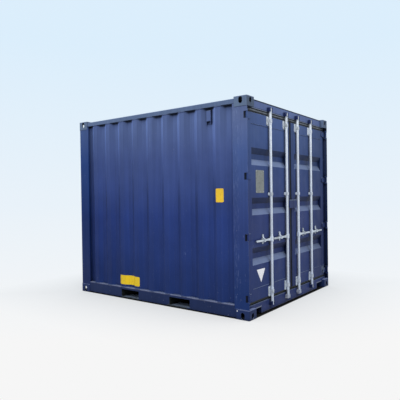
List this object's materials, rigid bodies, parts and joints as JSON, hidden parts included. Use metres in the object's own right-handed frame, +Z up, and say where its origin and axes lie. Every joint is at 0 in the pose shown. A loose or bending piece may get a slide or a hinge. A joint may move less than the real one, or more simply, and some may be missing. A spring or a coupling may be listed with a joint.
{
  "type": "shipping container",
  "caption": "Short steel shipping container with corrugated walls, double swing doors with locking rods, hollow corner castings and forklift pockets.",
  "frame": {"origin": "centre of the container's footprint, on the level that its bottom castings stand on", "axes": "+Z up, the door end faces -Y, X across the width"},
  "size_m": [2.438, 2.991, 2.591],
  "materials": {
    "blue_paint": "weathered satin",
    "galvanised": "dull zinc",
    "rubber": "matte",
    "plywood": "varnished, worn"
  },
  "bodies": {
    "container_frame": {"top_castings": "blue_paint", "bottom_castings": "blue_paint", "rear_posts": "blue_paint", "rear_post_channels": "blue_paint", "front_posts": "blue_paint", "top_side_rails": "blue_paint", "bottom_side_rails": "blue_paint", "front_header": "blue_paint", "front_sill": "blue_paint", "door_header": "blue_paint", "door_sill": "blue_paint", "left_side_panel": "blue_paint", "right_side_panel": "blue_paint", "front_panel": "blue_paint", "roof_panel": "blue_paint", "roof_corner_plates": "blue_paint", "cross_members": "blue_paint", "forklift_pockets": "blue_paint", "floor_boards": "plywood", "threshold": "blue_paint", "ventilators": "blue_paint", "cam_keepers": "blue_paint", "hinge_lugs": "blue_paint"},
    "left_door": {"left_door_frame": "blue_paint", "left_door_panel": "blue_paint", "left_door_seal": "rubber", "left_hinge_blades": "blue_paint", "left_rod_guides": "galvanised", "left_handle_catches": "galvanised", "left_lock_box": "blue_paint"},
    "left_outer_rod": {"left_outer_rod": "galvanised"},
    "left_outer_handle": {"left_outer_handle": "galvanised"},
    "left_inner_rod": {"left_inner_rod": "galvanised"},
    "left_inner_handle": {"left_inner_handle": "galvanised"},
    "right_door": {"right_door_frame": "blue_paint", "right_door_panel": "blue_paint", "right_door_seal": "rubber", "right_hinge_blades": "blue_paint", "right_rod_guides": "galvanised", "right_handle_catches": "galvanised", "right_lock_box": "blue_paint"},
    "right_outer_rod": {"right_outer_rod": "galvanised"},
    "right_outer_handle": {"right_outer_handle": "galvanised"},
    "right_inner_rod": {"right_inner_rod": "galvanised"},
    "right_inner_handle": {"right_inner_handle": "galvanised"}
  },
  "joints": [
    {"name": "left_door_hinge", "type": "hinge", "parent": "container_frame", "child": "left_door", "pos_m": [-1.199, -1.4825, 1.3], "axis": [0, 0, -1], "range_deg": [0, 262]},
    {"name": "left_outer_rod_turn", "type": "hinge", "parent": "left_door", "child": "left_outer_rod", "pos_m": [-0.62, -1.4745, 1.3], "axis": [0, 0, -1], "range_deg": [-110, 0]},
    {"name": "left_outer_handle_lift", "type": "hinge", "parent": "left_outer_rod", "child": "left_outer_handle", "pos_m": [-0.658, -1.4745, 0.893], "axis": [0, -1, 0], "range_deg": [-20, 0]},
    {"name": "left_inner_rod_turn", "type": "hinge", "parent": "left_door", "child": "left_inner_rod", "pos_m": [-0.174, -1.4745, 1.3], "axis": [0, 0, -1], "range_deg": [-110, 0]},
    {"name": "left_inner_handle_lift", "type": "hinge", "parent": "left_inner_rod", "child": "left_inner_handle", "pos_m": [-0.212, -1.4745, 0.893], "axis": [0, -1, 0], "range_deg": [-20, 0]},
    {"name": "right_door_hinge", "type": "hinge", "parent": "container_frame", "child": "right_door", "pos_m": [1.199, -1.4825, 1.3], "axis": [0, 0, 1], "range_deg": [0, 262]},
    {"name": "right_outer_rod_turn", "type": "hinge", "parent": "right_door", "child": "right_outer_rod", "pos_m": [0.62, -1.4745, 1.3], "axis": [0, 0, 1], "range_deg": [-110, 0]},
    {"name": "right_outer_handle_lift", "type": "hinge", "parent": "right_outer_rod", "child": "right_outer_handle", "pos_m": [0.658, -1.4745, 0.893], "axis": [0, 1, 0], "range_deg": [-20, 0]},
    {"name": "right_inner_rod_turn", "type": "hinge", "parent": "right_door", "child": "right_inner_rod", "pos_m": [0.174, -1.4745, 1.3], "axis": [0, 0, 1], "range_deg": [-110, 0]},
    {"name": "right_inner_handle_lift", "type": "hinge", "parent": "right_inner_rod", "child": "right_inner_handle", "pos_m": [0.212, -1.4745, 0.893], "axis": [0, 1, 0], "range_deg": [-20, 0]}
  ]
}
